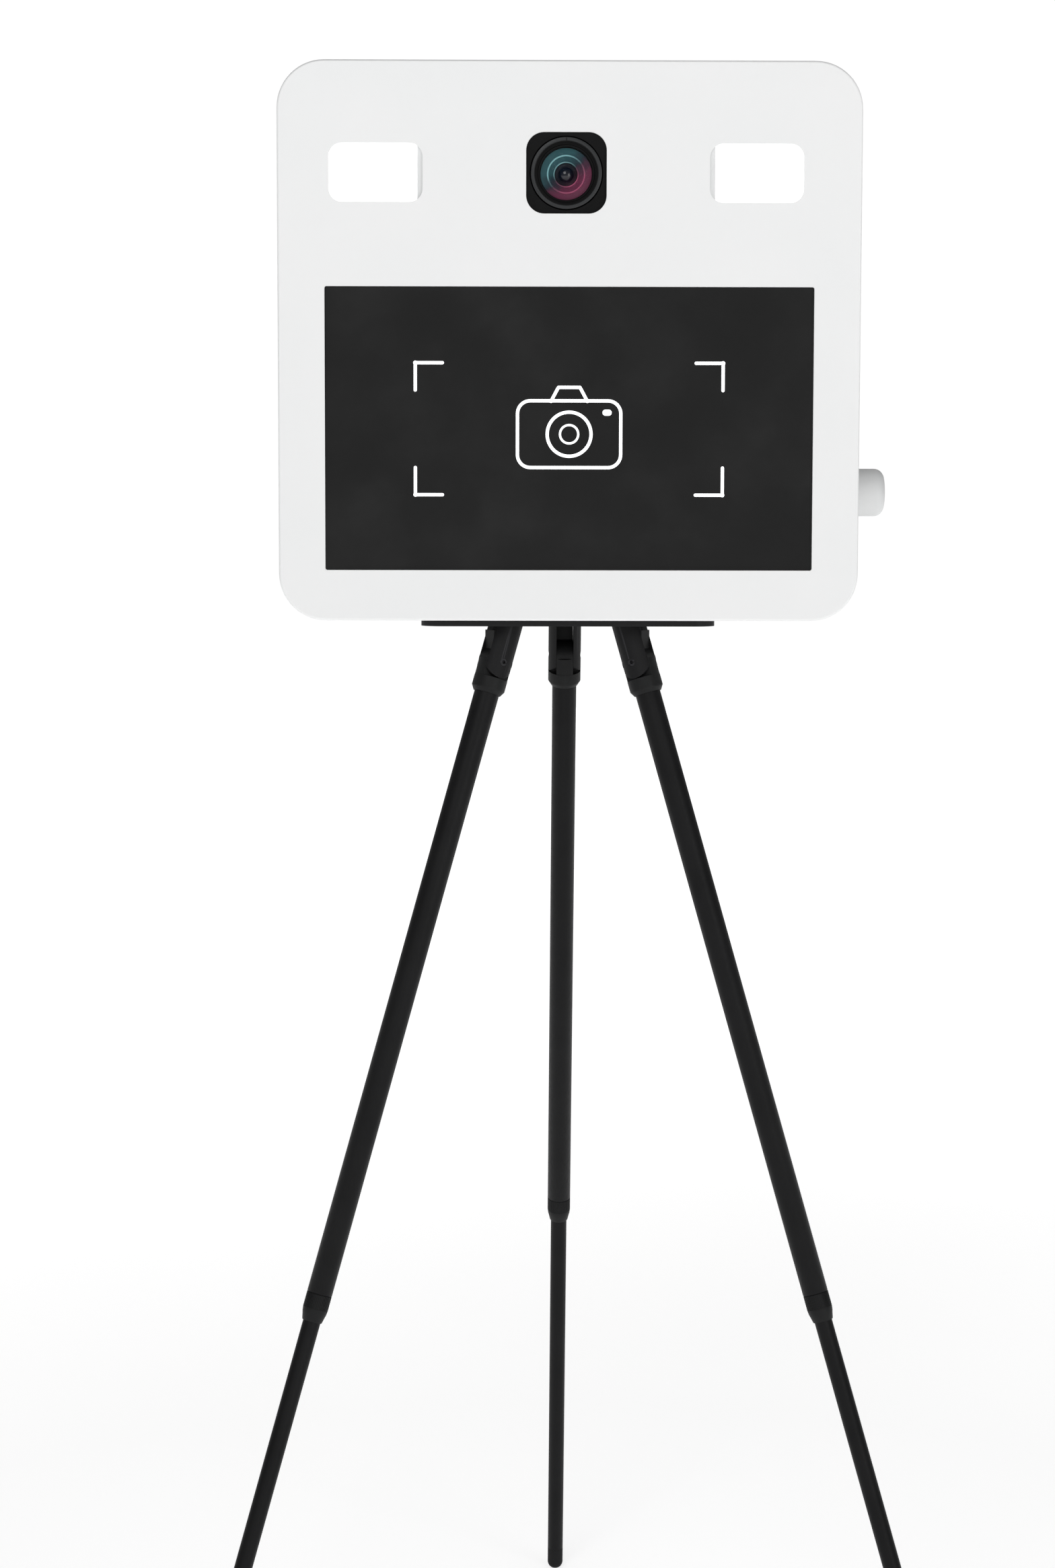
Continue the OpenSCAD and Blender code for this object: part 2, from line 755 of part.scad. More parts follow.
module tube_z(top, end, outer, inner) {
    difference() {
        translate([0, 0, -end]) cylinder(d = outer, h = end - top);
        translate([0, 0, -end - 1]) cylinder(d = inner, h = end - top + 2);
    }
}

module knuckle(turn) color("black") {
    difference() {
        union() {
            along_leg(turn) {
                rotate([90, 0, 0]) cylinder(r = cheek_r - 1.5, h = tongue_w, center = true);
                intersection() {
                    translate([0, 0, -shoulder - 1]) cylinder(d = bracket_w - 0.4, h = shoulder + 1);
                    block([-bracket_w, -tongue_w / 2, -shoulder - 1], [bracket_w, tongue_w / 2, 0]);
                }
                translate([0, 0, -collar_end]) cylinder(d = bracket_w, h = collar_end - shoulder);
                translate([0, 0, -cone_end])
                    cylinder(d1 = upper_d + 2.4, d2 = bracket_w, h = cone_end - collar_end);
            }
            // heel that meets the bracket's base when the leg is spread
            at_pin(turn) block([0, -tongue_w / 2, 0], [7, tongue_w / 2, pin_drop - base_t - 0.1]);
        }
        along_leg(turn) {
            rotate([90, 0, 0]) cylinder(d = pin_d + 2 * run_gap, h = bracket_w, center = true);
            translate([0, 0, -cone_end - 1])
                cylinder(d = upper_d + 2 * run_gap, h = cone_end - seat + 1);
        }
    }
    // spigot inside the tube
    along_leg(turn) translate([0, 0, -spigot_end])
        cylinder(d = upper_in - 2 * run_gap, h = spigot_end - seat + 1);
}

module upper_tube(turn) color("black") along_leg(turn) {
    tube_z(seat, neck_top, upper_d, upper_in);
    tube_z(neck_root, neck_end, neck_d, neck_bore);
}

module twist_sleeve(turn) color("black") along_leg(turn) translate([0, 0, -upper_len]) difference() {
    rotate_extrude() polygon([
        [0, 0], [lower_d / 2 + 1.2, 0], [upper_d / 2 - 0.6, 8], [upper_d / 2, 13],
        [upper_d / 2, sleeve_len - still_gap], [0, sleeve_len - still_gap]
    ]);
    translate([0, 0, 11]) cylinder(d = neck_d + 2 * run_gap, h = sleeve_len);
    translate([0, 0, 2]) cylinder(d1 = lower_d + 1.6, d2 = neck_d - 1, h = 9 + eps);
    translate([0, 0, -1]) cylinder(d = lower_d + 0.8, h = 5);
}

module collet(turn) color("ivory") along_leg(turn) translate([0, 0, -upper_len]) difference() {
    union() {
        translate([0, 0, 3]) cylinder(d1 = lower_d + 1.2, d2 = neck_d - 1.6, h = 8);
        translate([0, 0, 11]) cylinder(d = neck_d - 1.6, h = 4);
    }
    translate([0, 0, 2]) cylinder(d = collet_in, h = 14);
    block([0, -0.6, 2], [upper_d, 0.6, 16]);
}

module lower_tube(turn) color("dimgray") along_leg(turn) {
    tube_z(lower_top, lower_end, lower_d, lower_d - 2 * tube_wall);
}

module guide_plug(turn) color("ivory") along_leg(turn) {
    tube_z(lower_top, plug_low, upper_in - 2 * run_gap, lower_d + 2 * run_gap);
    difference() {
        translate([0, 0, -lower_top]) cylinder(d = upper_in - 2 * run_gap, h = 3);
        translate([0, 0, -lower_top - 1]) cylinder(d = 6, h = 5);
    }
}

module foot(turn) color("black") intersection() {
    along_leg(turn) translate([0, 0, -leg_len]) union() {
        rotate_extrude() difference() {
            union() {
                square([foot_r, foot_len]);
                circle(foot_r);
            }
            translate([-2 * foot_r, -foot_r - 1]) square([2 * foot_r, 4 * foot_len]);
        }
        translate([0, 0, foot_len - 1]) cylinder(d = lower_d - 2 * tube_wall - 2 * run_gap, h = 16);
    }
    translate([-2000, -2000, 0]) cube([4000, 4000, 400]);
}

module leg_piece(piece, turn) {
    if (piece == "knuckle") knuckle(turn);
    if (piece == "upper_tube") upper_tube(turn);
    if (piece == "twist_sleeve") twist_sleeve(turn);
    if (piece == "collet") collet(turn);
    if (piece == "lower_tube") lower_tube(turn);
    if (piece == "guide_plug") guide_plug(turn);
    if (piece == "foot") foot(turn);
}

front_panel();
housing_shell();
rear_door();
touch_glass();
display_module();
display_brackets();
chassis_plate();
camera_window_frame();
camera_body();
camera_shelf();
camera_thumbscrew();
lens_barrel();
lens_zoom_ring();
lens_front_element();
light_housings();
light_diffusers();
light_led_boards();
mini_computer();
power_supply();
fan_frame();
fan_rotor();
power_inlet();
power_rocker();
button_bezel();
power_button();
door_hinge_frame_leaves();
door_hinge_door_leaves();
door_hinge_pins();
latch_bushing();
latch_knob();
latch_cam();
latch_keeper();
panel_screws();
mount_plate();
plate_bolts();
leg_brackets();
leg_pins();
for (i = [0 : 2], piece = LEG_PARTS) {
    leg_piece(piece, LEG_TURNS[i]);
}
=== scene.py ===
import json
import math

import bmesh
import bpy
from mathutils import Matrix, Vector


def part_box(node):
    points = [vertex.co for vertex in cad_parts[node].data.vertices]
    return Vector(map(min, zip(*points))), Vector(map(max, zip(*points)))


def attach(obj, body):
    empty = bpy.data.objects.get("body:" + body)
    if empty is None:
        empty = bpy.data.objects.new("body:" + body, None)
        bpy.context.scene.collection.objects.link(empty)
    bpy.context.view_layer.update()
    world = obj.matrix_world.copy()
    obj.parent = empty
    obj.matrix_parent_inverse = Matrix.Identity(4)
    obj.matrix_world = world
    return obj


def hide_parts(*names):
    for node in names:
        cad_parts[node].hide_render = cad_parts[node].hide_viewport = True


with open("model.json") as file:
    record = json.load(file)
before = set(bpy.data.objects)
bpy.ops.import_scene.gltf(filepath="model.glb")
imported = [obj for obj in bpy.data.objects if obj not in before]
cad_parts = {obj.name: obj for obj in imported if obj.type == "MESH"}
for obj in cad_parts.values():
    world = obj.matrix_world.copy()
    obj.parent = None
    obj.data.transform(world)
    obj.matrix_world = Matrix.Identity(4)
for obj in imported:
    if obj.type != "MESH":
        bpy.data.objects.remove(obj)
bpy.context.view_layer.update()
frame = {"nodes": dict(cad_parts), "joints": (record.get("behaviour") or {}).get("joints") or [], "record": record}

MM = 0.001
NODES = frame["nodes"]
RECORD = frame["record"]
JOINTS = {joint["name"]: joint for joint in frame["joints"]}
BODY_OF = {node: body for body, nodes in RECORD["behaviour"]["bodies"].items() for node in nodes}
SLOT_OF = {row["node"]: row["material_slot"] for row in RECORD["subparts"]}
LEGS = ("rear", "left", "right")
X, Y = Vector((1, 0, 0)), Vector((0, 1, 0))


# ---------------------------------------------------------------- materials: helpers

def linear(code):
    """A linear RGBA colour from an sRGB hex code."""
    channels = [int(code[i:i + 2], 16) / 255 for i in (1, 3, 5)]
    return [c / 12.92 if c <= 0.04045 else ((c + 0.055) / 1.055) ** 2.4 for c in channels] + [1.0]


def add(tree, kind, settings=None, inputs=None):
    """Adds a shader node with its settings; an input is a value, or a socket to link from."""
    node = tree.nodes.new("ShaderNode" + kind)
    for name, value in (settings or {}).items():
        setattr(node, name, value)
    for name, value in (inputs or {}).items():
        if isinstance(value, bpy.types.NodeSocket):
            tree.links.new(value, node.inputs[name])
        else:
            node.inputs[name].default_value = value
    return node


def new_material(name):
    """An empty node material, its tree, and the object coordinates that its patterns use."""
    material = bpy.data.materials.new(name)
    material.use_nodes = True
    material.node_tree.nodes.clear()
    place = add(material.node_tree, "TexCoord").outputs["Object"]
    return material, material.node_tree, place


def noise(tree, place, size_mm, detail=3.0, stretch=(1, 1, 1)):
    """A noise value whose blobs are size_mm wide."""
    spread = add(tree, "Mapping", inputs={"Vector": place, "Scale": stretch}).outputs[0]
    scale = 1 / (size_mm * MM)
    return add(tree, "TexNoise", inputs={"Vector": spread, "Scale": scale, "Detail": detail}).outputs[0]


def between(tree, factor, low, high, start=0.3, end=0.7):
    """A value that follows factor from low to high."""
    limits = {"Value": factor, "From Min": start, "From Max": end, "To Min": low, "To Max": high}
    return add(tree, "MapRange", inputs=limits).outputs[0]


def blend_colours(tree, factor, first, second):
    """A colour between two others, each a hex code or a socket."""
    pair = [linear(c) if isinstance(c, str) else c for c in (first, second)]
    mix = add(tree, "Mix", {"data_type": "RGBA"}, {0: factor, 6: pair[0], 7: pair[1]})
    return mix.outputs[2]


def relief(tree, height, depth_mm, under=None):
    """A bump normal whose peaks stand depth_mm above its hollows."""
    inputs = {"Height": height, "Distance": depth_mm * MM, "Strength": 1.0}
    if under is not None:
        inputs["Normal"] = under
    return add(tree, "Bump", inputs=inputs).outputs[0]


def surface(tree, colour, roughness, normal, metallic=0.0, **constants):
    """The Principled surface and the output; constants are set on its own sockets."""
    inputs = {"Base Color": colour, "Roughness": roughness, "Metallic": metallic}
    if normal is not None:
        inputs["Normal"] = normal
    inputs.update({name.replace("_", " "): value for name, value in constants.items()})
    shader = add(tree, "BsdfPrincipled", inputs=inputs)
    add(tree, "OutputMaterial", inputs={"Surface": shader.outputs[0]})


def rubbed_edges(tree):
    """A mask that is 1 along outer edges, where handling polishes and wears a finish."""
    point = add(tree, "NewGeometry").outputs["Pointiness"]
    return between(tree, point, 0, 1, 0.54, 0.6)


# ---------------------------------------------------------------- materials: one function each

def powder_coated_aluminium():
    """White polyester powder baked on sheet: an even satin face with a faint orange peel."""
    material, tree, place = new_material("powder_coated_aluminium")
    tone = between(tree, noise(tree, place, 180, 2), 0, 1)
    colour = blend_colours(tree, tone, "#EEEEEE", "#EBECEC")
    peel = noise(tree, place, 1.8, 2)
    specks = noise(tree, place, 0.4, 1)
    normal = relief(tree, specks, 0.002, relief(tree, peel, 0.012))
    surface(tree, colour, between(tree, peel, 0.36, 0.44), normal, Specular_IOR_Level=0.4)
    return material


def powder_coated_steel():
    """Black fine-texture powder on laser-cut steel: dull, slightly grainy, greyer on rubbed edges."""
    material, tree, place = new_material("powder_coated_steel")
    grain = noise(tree, place, 0.7, 3)
    colour = blend_colours(tree, rubbed_edges(tree), "#171718", "#2E2E30")
    surface(tree, colour, between(tree, grain, 0.5, 0.62), relief(tree, grain, 0.02),
            Specular_IOR_Level=0.16)
    return material


def anodised_aluminium():
    """Black anodised drawn tube: matt, with faint lengthwise streaks from the die."""
    material, tree, place = new_material("anodised_aluminium")
    streaks = noise(tree, place, 1.2, 2, (1, 1, 0.04))
    patches = noise(tree, place, 45, 2)
    colour = blend_colours(tree, between(tree, patches, 0, 1), "#0F0F10", "#141415")
    surface(tree, colour, between(tree, streaks, 0.42, 0.54), relief(tree, streaks, 0.006),
            Specular_IOR_Level=0.14)
    return material


def moulded_black_abs():
    """Black ABS from a spark-eroded mould: an even matt grain."""
    material, tree, place = new_material("moulded_black_abs")
    grain = noise(tree, place, 0.6, 2)
    colour = blend_colours(tree, between(tree, noise(tree, place, 30), 0, 1), "#141415", "#191A1A")
    surface(tree, colour, between(tree, grain, 0.46, 0.58), relief(tree, grain, 0.015),
            Specular_IOR_Level=0.18)
    return material


def moulded_grey_abs():
    """Light grey ABS with a fine satin grain from the mould."""
    material, tree, place = new_material("moulded_grey_abs")
    grain = noise(tree, place, 0.5, 2)
    colour = blend_colours(tree, between(tree, noise(tree, place, 40), 0, 1), "#DBDCDC", "#E0E1E1")
    surface(tree, colour, between(tree, grain, 0.4, 0.5), relief(tree, grain, 0.012))
    return material


def opal_acrylic():
    """Cast opal acrylic lit from behind by the LED board: it glows an even white."""
    material, tree, place = new_material("opal_acrylic")
    cloud = noise(tree, place, 60, 1)
    colour = blend_colours(tree, between(tree, cloud, 0, 1), "#FDFDFD", "#F8F9FA")
    surface(tree, colour, 0.28, None, Emission_Color=linear("#FFFFFF"), Emission_Strength=0.55)
    return material


def lit_display():
    """Lit lines of the idle screen: soft white, in fine square cells drawn twice as coarse as real ones."""
    material, tree, place = new_material("lit_display")
    cell = add(tree, "TexVoronoi", {"distance": "CHEBYCHEV"}, {"Vector": place, "Scale": 1 / (0.5 * MM),
                                                              "Randomness": 0.0}).outputs[0]
    colour = blend_colours(tree, between(tree, cell, 0, 1, 0.35, 0.55), "#F4F5F6", "#DFE1E4")
    surface(tree, colour, 0.3, None, Emission_Color=linear("#F2F3F5"), Emission_Strength=0.75)
    return material


def screen_glass():
    """Float glass bonded to a dark display: flat, glossy, deep grey with a trace of finger haze."""
    material, tree, place = new_material("screen_glass")
    haze = noise(tree, place, 70, 4)
    colour = blend_colours(tree, between(tree, haze, 0, 1), "#1B1B1B", "#1F1F1F")
    surface(tree, colour, between(tree, haze, 0.16, 0.26, 0.45, 0.7), None, Specular_IOR_Level=0.22)
    return material


def clear_zinc_plate():
    """Bright zinc plating on turned or pressed steel: a cool grey metal with fine tool marks."""
    material, tree, place = new_material("clear_zinc_plate")
    marks = noise(tree, place, 0.8, 3, (1, 1, 6))
    colour = blend_colours(tree, between(tree, noise(tree, place, 9), 0, 1), "#B4B7B9", "#C6C8C9")
    surface(tree, colour, between(tree, marks, 0.24, 0.4), relief(tree, marks, 0.005), 1.0)
    return material


def galvanised_sheet():
    """Hot-dip galvanised sheet: flat grey metal with crystal spangles a few millimetres wide."""
    material, tree, place = new_material("galvanised_sheet")
    spangle = add(tree, "TexVoronoi", inputs={"Vector": place, "Scale": 1 / (7 * MM)})
    tone = add(tree, "SeparateColor", inputs={0: spangle.outputs["Color"]}).outputs[0]
    colour = blend_colours(tree, between(tree, tone, 0, 1, 0, 1), "#9EA2A5", "#BCC0C2")
    grain = noise(tree, place, 0.5, 2)
    surface(tree, colour, between(tree, tone, 0.3, 0.5, 0, 1), relief(tree, grain, 0.004), 1.0)
    return material


def mill_finish_aluminium():
    """Plain rolled aluminium sheet: pale metal with fine lengthwise rolling lines."""
    material, tree, place = new_material("mill_finish_aluminium")
    rolled = noise(tree, place, 1.5, 3, (3, 3, 0.06))
    colour = blend_colours(tree, between(tree, noise(tree, place, 50), 0, 1), "#A9ACAE", "#BBBDBF")
    surface(tree, colour, between(tree, rolled, 0.3, 0.46), relief(tree, rolled, 0.004), 1.0)
    return material


def cast_aluminium():
    """Sand-blasted cast aluminium, dyed dark grey: a dry metallic grain."""
    material, tree, place = new_material("cast_aluminium")
    grain = noise(tree, place, 0.5, 3)
    colour = blend_colours(tree, rubbed_edges(tree), "#4A4D50", "#8C9093")
    surface(tree, colour, between(tree, grain, 0.48, 0.6), relief(tree, grain, 0.02), 0.85)
    return material


def solder_mask():
    """Green solder mask over copper: gloss lacquer with slightly raised tracks."""
    material, tree, place = new_material("solder_mask")
    tracks = add(tree, "TexBrick", inputs={"Vector": place, "Scale": 1 / (30 * MM)}).outputs[1]
    colour = blend_colours(tree, tracks, "#0F5A36", "#1B7A4C")
    surface(tree, colour, 0.3, relief(tree, tracks, 0.03))
    return material


def polyacetal():
    """Natural polyacetal: waxy ivory plastic, turned, with a soft sheen."""
    material, tree, place = new_material("polyacetal")
    turning = noise(tree, place, 0.6, 2, (0.2, 0.2, 3))
    colour = blend_colours(tree, between(tree, noise(tree, place, 12), 0, 1), "#DAD3BC", "#E2DCC8")
    surface(tree, colour, between(tree, turning, 0.32, 0.42), relief(tree, turning, 0.006))
    return material


def moulded_rubber():
    """Black nitrile rubber: matt, slightly bloomed, with a soft mould grain."""
    material, tree, place = new_material("moulded_rubber")
    bloom = noise(tree, place, 8, 4)
    grain = noise(tree, place, 0.7, 2)
    colour = blend_colours(tree, between(tree, bloom, 0, 1), "#131314", "#1B1B1C")
    surface(tree, colour, between(tree, bloom, 0.62, 0.78), relief(tree, grain, 0.02),
            Specular_IOR_Level=0.16)
    return material


def red_polycarbonate():
    """Red polycarbonate rocker: glossy, with faint flow clouds."""
    material, tree, place = new_material("red_polycarbonate")
    colour = blend_colours(tree, between(tree, noise(tree, place, 7), 0, 1), "#8E1414", "#A41A1A")
    surface(tree, colour, 0.22, None, Coat_Weight=0.3)
    return material


def lens_black_paint():
    """Matt black paint that kills stray light round the lens: almost no sheen."""
    material, tree, place = new_material("lens_black_paint")
    grain = noise(tree, place, 0.6, 2)
    colour = blend_colours(tree, between(tree, noise(tree, place, 20), 0, 1), "#070707", "#0B0B0C")
    surface(tree, colour, between(tree, grain, 0.62, 0.75), relief(tree, grain, 0.01),
            Specular_IOR_Level=0.15)
    return material


def anodised_lens_barrel():
    """Turned and satin anodised aluminium: dark grey with fine turning marks, paler on its edges."""
    material, tree, place = new_material("anodised_lens_barrel")
    turning = noise(tree, place, 0.7, 2, (0.3, 4, 0.3))
    colour = blend_colours(tree, rubbed_edges(tree), "#262728", "#3E4042")
    surface(tree, colour, between(tree, turning, 0.34, 0.46), relief(tree, turning, 0.004), 0.2,
            Specular_IOR_Level=0.3)
    return material


def optical_glass():
    """Ground and polished glass; its coatings leave hardly any mirroring, so it is nearly see-through."""
    material, tree, place = new_material("optical_glass")
    dust = noise(tree, place, 6, 4)
    colour = blend_colours(tree, between(tree, dust, 0, 1), "#0B0F12", "#15191C")
    surface(tree, colour, 0.02, None, Alpha=0.04, IOR=1.5)
    return material


def painted_coating_reflection(name, upper, middle, lower, roughness=0.4, sheen=0.12):
    """Painted reflections of the lens coatings inside the lens: teal at the upper left, dim between, magenta at
    the lower right.
    """
    material, tree, place = new_material(name)
    centre, reach, overlap = lens_middle(), 13 * MM, 1 * MM
    slope = Vector((0.6, 0.0, -0.8))
    across = add(tree, "VectorMath", {"operation": "DOT_PRODUCT"},
                 {0: place, 1: slope}).outputs["Value"]
    start = centre.dot(slope)
    cloud = noise(tree, place, 9, 3)
    wander = between(tree, cloud, -4 * MM, 4 * MM)
    moved = add(tree, "Math", {"operation": "ADD"}, {0: across, 1: wander}).outputs[0]
    first = between(tree, moved, 0, 1, start - reach, start + overlap)
    second = between(tree, moved, 0, 1, start - overlap, start + reach)
    colour = blend_colours(tree, second, blend_colours(tree, first, upper, middle), lower)
    surface(tree, colour, roughness, None, Specular_IOR_Level=sheen)
    return material


# ---------------------------------------------------------------- places read from the frame

def lens_middle():
    """The middle of the lens barrel."""
    low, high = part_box("lens_barrel")
    return (Vector(low) + Vector(high)) / 2


def size_of(node):
    low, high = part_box(node)
    return Vector(high) - Vector(low)


# ---------------------------------------------------------------- mesh helpers

def set_smooth(bm, angle=38):
    """Smooth faces with a crease wherever two faces meet at more than the angle."""
    for face in bm.faces:
        face.smooth = True
    for edge in bm.edges:
        edge.smooth = len(edge.link_faces) != 2 or edge.calc_face_angle(math.pi) < math.radians(angle)


def make_piece(bm, name, body, slot, material, stands_for=(), weighted=True, angle=38):
    """Turns a bmesh into a finished piece that rides on its body."""
    set_smooth(bm, angle)
    mesh = bpy.data.meshes.new(name)
    bm.to_mesh(mesh)
    bm.free()
    piece = bpy.data.objects.new(name, mesh)
    bpy.context.scene.collection.objects.link(piece)
    mesh.materials.append(material)
    if weighted:
        normals = piece.modifiers.new("weighted_normals", "WEIGHTED_NORMAL")
        normals.keep_sharp = True
    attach(piece, body)
    if stands_for:
        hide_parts(*stands_for)
    return piece


def merged_copy(node):
    """A bmesh of a CAD node with its loose triangles merged into whole faces."""
    bm = bmesh.new()
    bm.from_mesh(NODES[node].data)
    bmesh.ops.remove_doubles(bm, verts=bm.verts, dist=0.002 * MM)
    bmesh.ops.dissolve_limit(bm, angle_limit=math.radians(0.4), verts=bm.verts, edges=bm.edges)
    return bm


def round_edges(bm, edges, width_mm, segments):
    bmesh.ops.bevel(bm, geom=edges, offset=width_mm * MM, offset_type="OFFSET", segments=segments,
                    profile=0.5, affect="EDGES", clamp_overlap=True, material=-1)


def softened(node, width_mm, material, min_angle=32):
    """A copy of a CAD node with its sharp edges rounded."""
    bm = merged_copy(node)
    corners = [e for e in bm.edges
               if len(e.link_faces) == 2 and e.calc_face_angle() > math.radians(min_angle)]
    round_edges(bm, corners, width_mm, 2)
    make_piece(bm, node + "_skin", BODY_OF[node], SLOT_OF[node], material, (node,))


def turned_mesh(profile, place, steps=96):
    """A bmesh turned about the z axis of place from a profile of (radius, height) pairs in mm."""
    bm = bmesh.new()
    verts = [bm.verts.new((r * MM, 0, h * MM)) for r, h in profile]
    edges = [bm.edges.new(pair) for pair in zip(verts, verts[1:])]
    bmesh.ops.spin(bm, geom=verts + edges, cent=(0, 0, 0), axis=(0, 0, 1), dvec=(0, 0, 0),
                   angle=math.tau, steps=steps, use_merge=True, use_duplicate=False)
    bmesh.ops.remove_doubles(bm, verts=bm.verts, dist=0.001 * MM)
    bmesh.ops.recalc_face_normals(bm, faces=bm.faces)
    bmesh.ops.transform(bm, matrix=place, verts=bm.verts)
    return bm


def facing(origin, axis, side=None):
    """A place whose z axis points along axis, and whose x axis is as near side as it can be."""
    up = Vector(axis).normalized()
    side = Vector(side) if side is not None else (X if abs(up.x) < 0.9 else Y)
    across = (side - up * side.dot(up)).normalized()
    turn = Matrix((across, up.cross(across), up)).transposed().to_4x4()
    return Matrix.Translation(origin) @ turn


def plate_mesh(width, height, radius, thickness, place, segments=10, ring=None):
    """A rounded plate in mm in the x-y plane of place, or a frame of it when ring gives its width."""
    bm = bmesh.new()
    bmesh.ops.create_grid(bm, x_segments=1, y_segments=1, size=0.5)
    bmesh.ops.scale(bm, vec=(width * MM, height * MM, 1), verts=bm.verts)
    bmesh.ops.bevel(bm, geom=bm.verts[:], offset=radius * MM, offset_type="OFFSET", segments=segments,
                    profile=0.5, affect="VERTICES", material=-1)
    if ring:
        rim = bmesh.ops.inset_region(bm, faces=bm.faces[:], thickness=ring * MM,
                                     use_even_offset=True, use_boundary=True)["faces"]
        bmesh.ops.delete(bm, geom=[f for f in bm.faces if f not in rim], context="FACES")
    top = bmesh.ops.extrude_face_region(bm, geom=bm.faces[:])
    moved = [v for v in top["geom"] if isinstance(v, bmesh.types.BMVert)]
    bmesh.ops.translate(bm, vec=(0, 0, thickness * MM), verts=moved)
    bmesh.ops.recalc_face_normals(bm, faces=bm.faces)
    bmesh.ops.transform(bm, matrix=place, verts=bm.verts)
    return bm


def joined(parts):
    """One bmesh that holds several others."""
    whole = bmesh.new()
    for part in parts:
        mesh = bpy.data.meshes.new("scrap")
        part.to_mesh(mesh)
        part.free()
        whole.from_mesh(mesh)
        bpy.data.meshes.remove(mesh)
    return whole


# ---------------------------------------------------------------- the finishes

WHITE = powder_coated_aluminium()
BLACK_STEEL = powder_coated_steel()
TUBE = anodised_aluminium()
BLACK_ABS = moulded_black_abs()
GREY_ABS = moulded_grey_abs()
OPAL = opal_acrylic()
LIT = lit_display()
GLASS = screen_glass()
ZINC = clear_zinc_plate()
SHEET = galvanised_sheet()
SILVER = mill_finish_aluminium()
CAST = cast_aluminium()
MASK = solder_mask()
ACETAL = polyacetal()
RUBBER = moulded_rubber()
RED = red_polycarbonate()
LENS_GLASS = optical_glass()
LENS_PAINT = lens_black_paint()
BARREL = anodised_lens_barrel()
# painted reflections of the lens coatings: teal and magenta laid into the colour by place; the core and inner lens
# copies are dim
WALL_PAINTED_REFLECTION = painted_coating_reflection("wall_painted_reflection", "#2F565C", "#27303A", "#70344F")
# the ridge copy is much brighter: painted highlights on the ridges
RIDGE_PAINTED_HIGHLIGHT = painted_coating_reflection("ridge_painted_highlight", "#8CC3C8", "#3C4650", "#B85C7E")
CORE_PAINTED_REFLECTION = painted_coating_reflection("core_painted_reflection", "#0E1622", "#0F1019", "#2A0E20")
INNER_LENS_PAINTED_REFLECTION = painted_coating_reflection("inner_lens", "#101A2A", "#0D0F1C", "#1C0C1C", 0.05, 0.5)

FINISH_OF_SLOT = {
    "white_shell": WHITE, "screen_glass": GLASS, "black_sheet": BLACK_STEEL, "leg_tube": TUBE,
    "black_plastic": BLACK_ABS, "grey_plastic": GREY_ABS, "ivory_plastic": ACETAL, "opal": OPAL,
    "zinc": ZINC, "sheet_steel": SHEET, "grey_case": CAST, "silver_case": SILVER, "lens_glass": LENS_GLASS,
    "circuit": MASK, "red_plastic": RED, "rubber": RUBBER,
}


def finish_cad_nodes():
    """Every CAD node gets the material of its slot, shown or hidden."""
    for node, piece in NODES.items():
        piece.data.materials.clear()
        piece.data.materials.append(FINISH_OF_SLOT[SLOT_OF[node]])


# ---------------------------------------------------------------- head

SOFT_EDGES_MM = {
    "housing_shell": 0.5, "rear_door": 0.8, "touch_glass": 0.3,
    "display_module": 0.8, "display_brackets": 0.3, "chassis_plate": 0.3,
    "camera_body": 1.2, "camera_shelf": 0.4, "camera_thumbscrew": 0.5,
    "light_housings": 0.5, "light_led_boards": 0.2, "mini_computer": 0.4, "power_supply": 0.4,
    "fan_frame": 0.5, "fan_rotor": 0.3, "power_inlet": 0.5, "power_rocker": 0.5,
    "button_bezel": 0.4, "power_button": 0.5, "door_hinge_frame_leaves": 0.3,
    "door_hinge_door_leaves": 0.3, "door_hinge_pins": 0.4, "latch_bushing": 0.3, "latch_cam": 0.4,
    "latch_keeper": 0.4, "panel_screws": 0.2, "mount_plate": 1.5, "plate_bolts": 0.4,
    "leg_brackets": 0.7, "leg_pins": 0.3,
}


def soften_head():
    for node, width in SOFT_EDGES_MM.items():
        softened(node, width, FINISH_OF_SLOT[SLOT_OF[node]])
    softened("camera_window_frame", 0.4, LENS_PAINT)


def front_panel():
    """The front panel, well rounded along its outer edge and barely at its windows."""
    bm = merged_copy("front_panel")
    low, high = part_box("front_panel")
    margin = 20 * MM
    outer, inner = [], []
    for edge in bm.edges:
        if len(edge.link_faces) != 2 or edge.calc_face_angle() < math.radians(32):
            continue
        place = (edge.verts[0].co + edge.verts[1].co) / 2
        at_rim = min(place.x - low.x, high.x - place.x, place.z - low.z, high.z - place.z) < margin
        front = place.y < (low.y + high.y) / 2
        (outer if at_rim and front else inner).append(edge)
    for edges, width, segments in ((outer, 2.4, 6), (inner, 0.35, 2)):
        round_edges(bm, [e for e in edges if e.is_valid], width, segments)
    make_piece(bm, "front_panel_skin", "booth", "white_shell", WHITE, ("front_panel",))


def diffusers():
    """Two opal plates with rounded rims, one behind each light window."""
    middle = lens_middle().x
    halves = []
    for side in (-1, 1):
        points = [v.co for v in NODES["light_diffusers"].data.vertices if (v.co.x - middle) * side > 0]
        low, high = (Vector(pick(p[k] for p in points) for k in range(3)) for pick in (min, max))
        size = (high - low) / MM
        place = facing(((low.x + high.x) / 2, high.y, (low.z + high.z) / 2), -Y, X)
        bm = plate_mesh(size.x, size.z, 3, size.y, place, 4)
        rim = [e for e in bm.edges if len(e.link_faces) == 2 and e.calc_face_angle() > 0.9]
        round_edges(bm, rim, 0.5, 3)
        halves.append(bm)
    make_piece(joined(halves), "opal_diffusers", "booth", "opal", OPAL, ("light_diffusers",))


